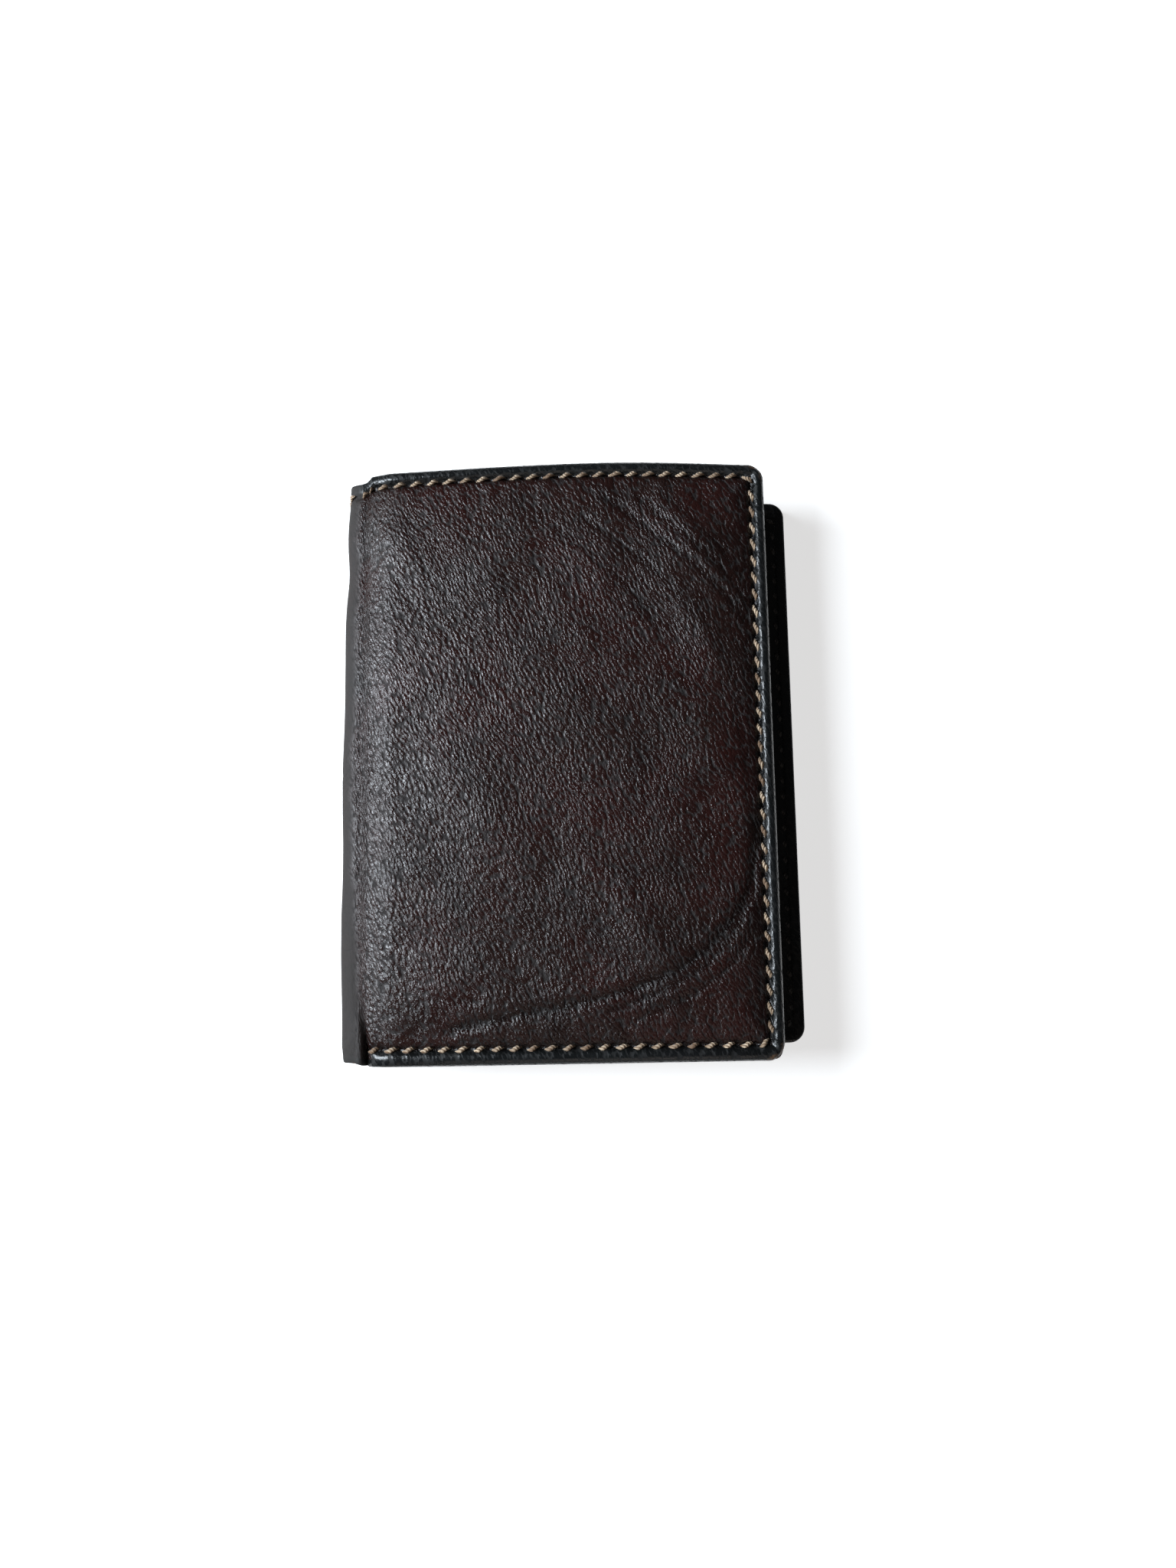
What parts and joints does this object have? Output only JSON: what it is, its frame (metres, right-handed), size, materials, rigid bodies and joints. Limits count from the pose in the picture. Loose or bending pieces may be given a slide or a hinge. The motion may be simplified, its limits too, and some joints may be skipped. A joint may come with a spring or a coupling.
{
  "type": "trifold wallet",
  "caption": "Closed trifold wallet in dark pebbled leather, with tan stitching, stepped card pockets and a windowed inner flap under its front flap.",
  "frame": {"origin": "middle of the underside of the closed wallet, at the bottom centre of its box", "axes": "+Z out of the front flap, +Y to the top edge where the banknote compartment opens, +X to the sewn free edge of the back panel; the fold is at -X"},
  "size_m": [0.085, 0.108, 0.0181],
  "materials": {
    "outer_leather": "fine pebble grain, soft sheen",
    "inner_leather": "smooth grain, satin",
    "leather_edge": "turned and burnished edge",
    "lining_fabric": "fine woven twill",
    "padding_felt": "thin felt board, hidden",
    "tan_thread": "twisted waxed thread",
    "dark_thread": "twisted waxed thread",
    "clear_film": "clear soft vinyl"
  },
  "bodies": {
    "back": {"back_outer_leather": "outer_leather", "back_turned_edge": "leather_edge", "back_lining": "lining_fabric", "back_inner_panel": "inner_leather", "back_card_pocket_tall": "inner_leather", "back_card_pocket_middle": "inner_leather", "back_card_pocket_short": "inner_leather", "back_outer_seam": "tan_thread", "back_inner_seam": "dark_thread", "inner_flap_hinge_tab": "inner_leather"},
    "fold": {"fold_outer_leather": "outer_leather", "fold_lining": "lining_fabric", "fold_top_seam": "tan_thread"},
    "front_flap": {"front_outer_leather": "outer_leather", "front_turned_edge": "leather_edge", "front_padding": "padding_felt", "front_lining": "lining_fabric", "front_inner_panel": "inner_leather", "front_card_pocket_tall": "inner_leather", "front_card_pocket_middle": "inner_leather", "front_card_pocket_short": "inner_leather", "front_top_seam": "tan_thread", "front_side_seam": "tan_thread", "front_bottom_seam": "tan_thread"},
    "inner_flap": {"inner_flap_hinge_roll": "inner_leather", "window_frame": "inner_leather", "window_film": "clear_film", "inner_flap_pocket": "inner_leather", "inner_flap_turned_edge": "leather_edge", "inner_flap_leather": "outer_leather", "inner_flap_seam": "tan_thread"}
  },
  "joints": [
    {"name": "back_bend", "type": "hinge", "parent": "back", "child": "fold", "pos_m": [-0.04143, 0, 0.00107], "axis": [0, -1, 0], "range_deg": [0, 90]},
    {"name": "front_bend", "type": "hinge", "parent": "fold", "child": "front_flap", "pos_m": [-0.04143, 0, 0.01703], "axis": [0, -1, 0], "range_deg": [0, 90]},
    {"name": "inner_flap_hinge", "type": "hinge", "parent": "back", "child": "inner_flap", "pos_m": [0.034, 0, 0.0047], "axis": [0, 1, 0], "range_deg": [0, 60]}
  ],
  "couplings": [
    {"joint": "front_bend", "follows": "back_bend", "ratio": 1},
    {"joint": "inner_flap_hinge", "follows": "back_bend", "ratio": 0.66667}
  ]
}
